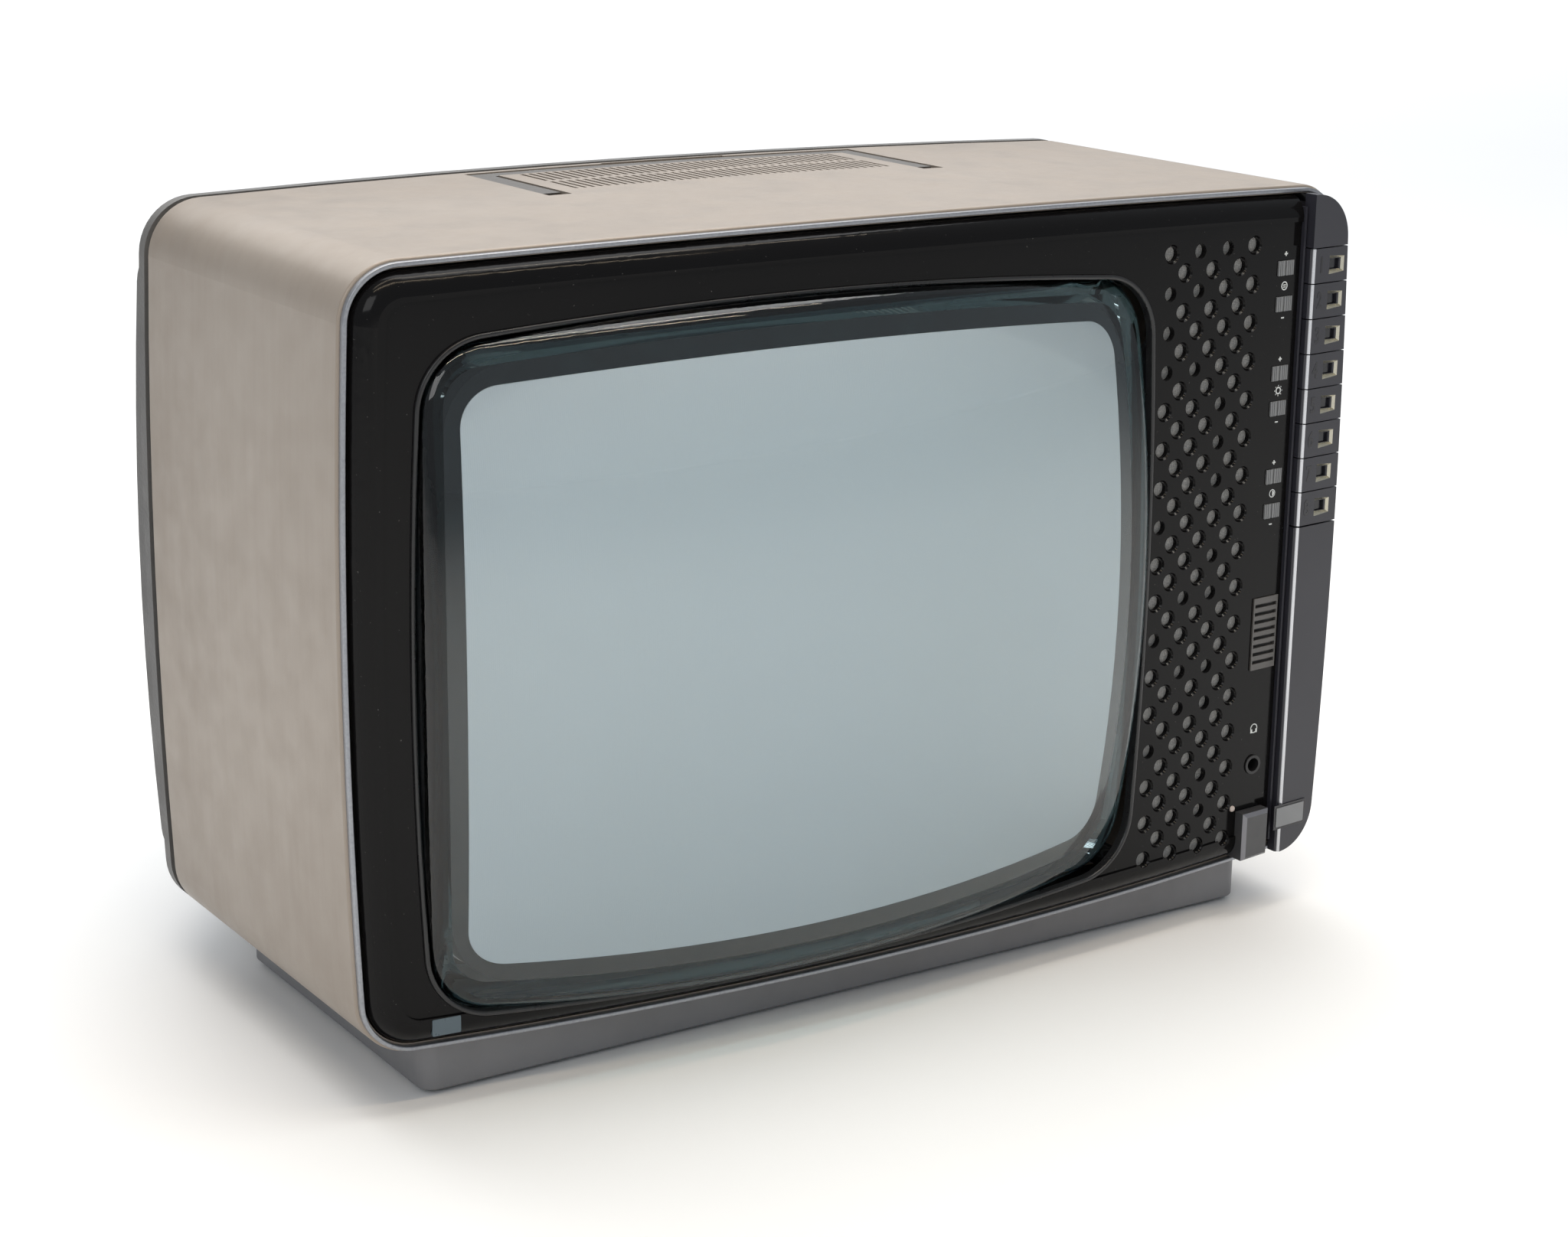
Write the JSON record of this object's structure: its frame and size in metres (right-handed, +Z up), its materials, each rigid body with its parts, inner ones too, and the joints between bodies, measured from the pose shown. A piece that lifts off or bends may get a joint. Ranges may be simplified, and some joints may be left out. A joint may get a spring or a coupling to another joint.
{
  "type": "portable colour television set",
  "caption": "Portable colour television: picture tube in a bowed cabinet with programme keys, dotted speaker grille, folding handle, plinth and vented rear cover.",
  "frame": {"origin": "centre of the bounding box, on the floor under the feet", "axes": "+X to the right of the screen seen from the front, -Y out of the screen, +Z up"},
  "size_m": [0.4964, 0.388, 0.3422],
  "materials": {
    "cabinet_lacquer": "satin metallic lacquer",
    "trim_silver": "satin",
    "bezel_black": "high gloss",
    "gasket_black": "semi-gloss",
    "cloth_grey": "woven",
    "strip_grey": "satin",
    "pad_grey": "satin",
    "button_grey": "satin",
    "sensor_black": "satin",
    "socket_black": "matte",
    "lamp_red": "translucent",
    "wheel_white": "matte",
    "pcb": "phenolic board",
    "glass": "polished, grey tint",
    "phosphor": "matte",
    "steel": "plain",
    "dag_black": "graphite-coated glass",
    "brass": "plain",
    "yoke_ferrite": "matte",
    "ring_plastic": "matte",
    "coil_tape": "matte",
    "tuner_tin": "tinned",
    "transformer": "cast resin",
    "speaker_black": "matte",
    "cone_paper": "pulp",
    "handle_taupe": "satin",
    "cover_grey": "fine texture",
    "plinth_grey": "satin",
    "rubber": "matte"
  },
  "bodies": {
    "cabinet": {"cabinet_shell": "cabinet_lacquer", "front_trim": "trim_silver", "front_bezel": "bezel_black", "screen_gasket": "gasket_black", "grille_cloth": "cloth_grey", "control_frame": "strip_grey", "sensor_grille": "sensor_black", "headphone_socket": "socket_black", "standby_lamp": "lamp_red", "plinth": "plinth_grey", "rubber_feet": "rubber", "rear_cover": "cover_grey", "rear_screws": "steel", "tube_panel": "glass", "phosphor_screen": "phosphor", "shadow_mask": "steel", "tube_funnel": "dag_black", "electron_gun": "steel", "tube_socket": "pcb", "deflection_yoke": "yoke_ferrite", "convergence_rings": "ring_plastic", "implosion_band": "steel", "tube_screws": "steel", "degaussing_coil": "coil_tape", "flyback_transformer": "transformer", "main_board": "pcb", "tuner_box": "tuner_tin", "speaker_frame": "speaker_black", "speaker_cone": "cone_paper", "aerial_sockets": "socket_black", "mains_bush": "rubber", "control_board": "pcb", "program_lamps": "lamp_red", "handle_tray": "cover_grey", "handle_pins": "steel"},
    "handle": {"carry_handle": "handle_taupe"},
    "power_button": {"power_button": "button_grey"},
    "tuning_door": {"tuning_door": "strip_grey"},
    "volume_up": {"volume_up_pad": "pad_grey"},
    "volume_down": {"volume_down_pad": "pad_grey"},
    "brightness_up": {"brightness_up_pad": "pad_grey"},
    "brightness_down": {"brightness_down_pad": "pad_grey"},
    "colour_up": {"colour_up_pad": "pad_grey"},
    "colour_down": {"colour_down_pad": "pad_grey"},
    "key_1": {"program_key_1": "strip_grey"},
    "wheel_1": {"tuning_wheel_1": "wheel_white"},
    "key_2": {"program_key_2": "strip_grey"},
    "wheel_2": {"tuning_wheel_2": "wheel_white"},
    "key_3": {"program_key_3": "strip_grey"},
    "wheel_3": {"tuning_wheel_3": "wheel_white"},
    "key_4": {"program_key_4": "strip_grey"},
    "wheel_4": {"tuning_wheel_4": "wheel_white"},
    "key_5": {"program_key_5": "strip_grey"},
    "wheel_5": {"tuning_wheel_5": "wheel_white"},
    "key_6": {"program_key_6": "strip_grey"},
    "wheel_6": {"tuning_wheel_6": "wheel_white"},
    "key_7": {"program_key_7": "strip_grey"},
    "wheel_7": {"tuning_wheel_7": "wheel_white"},
    "key_8": {"program_key_8": "strip_grey"},
    "wheel_8": {"tuning_wheel_8": "wheel_white"}
  },
  "joints": [
    {"name": "handle_fold", "type": "hinge", "parent": "cabinet", "child": "handle", "pos_m": [0, -0.0415, 0.3344], "axis": [1, 0, 0], "range_deg": [0, 95]},
    {"name": "power_press", "type": "slide", "parent": "cabinet", "child": "power_button", "axis": [0, 1, 0], "range_m": [0, 0.004], "stiffness_N_per_m": 400, "springref_m": -0.001},
    {"name": "volume_up_press", "type": "slide", "parent": "cabinet", "child": "volume_up", "axis": [0, 1, 0], "range_m": [0, 0.0008], "stiffness_N_per_m": 300, "springref_m": -0.0005},
    {"name": "volume_down_press", "type": "slide", "parent": "cabinet", "child": "volume_down", "axis": [0, 1, 0], "range_m": [0, 0.0008], "stiffness_N_per_m": 300, "springref_m": -0.0005},
    {"name": "brightness_up_press", "type": "slide", "parent": "cabinet", "child": "brightness_up", "axis": [0, 1, 0], "range_m": [0, 0.0008], "stiffness_N_per_m": 300, "springref_m": -0.0005},
    {"name": "brightness_down_press", "type": "slide", "parent": "cabinet", "child": "brightness_down", "axis": [0, 1, 0], "range_m": [0, 0.0008], "stiffness_N_per_m": 300, "springref_m": -0.0005},
    {"name": "colour_up_press", "type": "slide", "parent": "cabinet", "child": "colour_up", "axis": [0, 1, 0], "range_m": [0, 0.0008], "stiffness_N_per_m": 300, "springref_m": -0.0005},
    {"name": "colour_down_press", "type": "slide", "parent": "cabinet", "child": "colour_down", "axis": [0, 1, 0], "range_m": [0, 0.0008], "stiffness_N_per_m": 300, "springref_m": -0.0005},
    {"name": "key_1_press", "type": "slide", "parent": "cabinet", "child": "key_1", "axis": [0, 1, 0], "range_m": [0, 0.0015], "stiffness_N_per_m": 300, "springref_m": -0.0005},
    {"name": "key_2_press", "type": "slide", "parent": "cabinet", "child": "key_2", "axis": [0, 1, 0], "range_m": [0, 0.0015], "stiffness_N_per_m": 300, "springref_m": -0.0005},
    {"name": "key_3_press", "type": "slide", "parent": "cabinet", "child": "key_3", "axis": [0, 1, 0], "range_m": [0, 0.0015], "stiffness_N_per_m": 300, "springref_m": -0.0005},
    {"name": "key_4_press", "type": "slide", "parent": "cabinet", "child": "key_4", "axis": [0, 1, 0], "range_m": [0, 0.0015], "stiffness_N_per_m": 300, "springref_m": -0.0005},
    {"name": "key_5_press", "type": "slide", "parent": "cabinet", "child": "key_5", "axis": [0, 1, 0], "range_m": [0, 0.0015], "stiffness_N_per_m": 300, "springref_m": -0.0005},
    {"name": "key_6_press", "type": "slide", "parent": "cabinet", "child": "key_6", "axis": [0, 1, 0], "range_m": [0, 0.0015], "stiffness_N_per_m": 300, "springref_m": -0.0005},
    {"name": "key_7_press", "type": "slide", "parent": "cabinet", "child": "key_7", "axis": [0, 1, 0], "range_m": [0, 0.0015], "stiffness_N_per_m": 300, "springref_m": -0.0005},
    {"name": "key_8_press", "type": "slide", "parent": "cabinet", "child": "key_8", "axis": [0, 1, 0], "range_m": [0, 0.0015], "stiffness_N_per_m": 300, "springref_m": -0.0005},
    {"name": "door_hinge", "type": "hinge", "parent": "cabinet", "child": "tuning_door", "pos_m": [0.2385, -0.15987, 0.112], "axis": [0, 0, 1], "range_deg": [0, 90]},
    {"name": "wheel_1_turn", "type": "hinge", "parent": "cabinet", "child": "wheel_1", "pos_m": [0.228, -0.1475, 0.168], "axis": [1, 0, 0], "range_deg": [-135, 135]},
    {"name": "wheel_2_turn", "type": "hinge", "parent": "cabinet", "child": "wheel_2", "pos_m": [0.228, -0.1475, 0.1518], "axis": [1, 0, 0], "range_deg": [-135, 135]},
    {"name": "wheel_3_turn", "type": "hinge", "parent": "cabinet", "child": "wheel_3", "pos_m": [0.228, -0.1475, 0.1356], "axis": [1, 0, 0], "range_deg": [-135, 135]},
    {"name": "wheel_4_turn", "type": "hinge", "parent": "cabinet", "child": "wheel_4", "pos_m": [0.228, -0.1475, 0.1194], "axis": [1, 0, 0], "range_deg": [-135, 135]},
    {"name": "wheel_5_turn", "type": "hinge", "parent": "cabinet", "child": "wheel_5", "pos_m": [0.228, -0.1475, 0.1032], "axis": [1, 0, 0], "range_deg": [-135, 135]},
    {"name": "wheel_6_turn", "type": "hinge", "parent": "cabinet", "child": "wheel_6", "pos_m": [0.228, -0.1475, 0.087], "axis": [1, 0, 0], "range_deg": [-135, 135]},
    {"name": "wheel_7_turn", "type": "hinge", "parent": "cabinet", "child": "wheel_7", "pos_m": [0.228, -0.1475, 0.0708], "axis": [1, 0, 0], "range_deg": [-135, 135]},
    {"name": "wheel_8_turn", "type": "hinge", "parent": "cabinet", "child": "wheel_8", "pos_m": [0.228, -0.1475, 0.0546], "axis": [1, 0, 0], "range_deg": [-135, 135]}
  ]
}
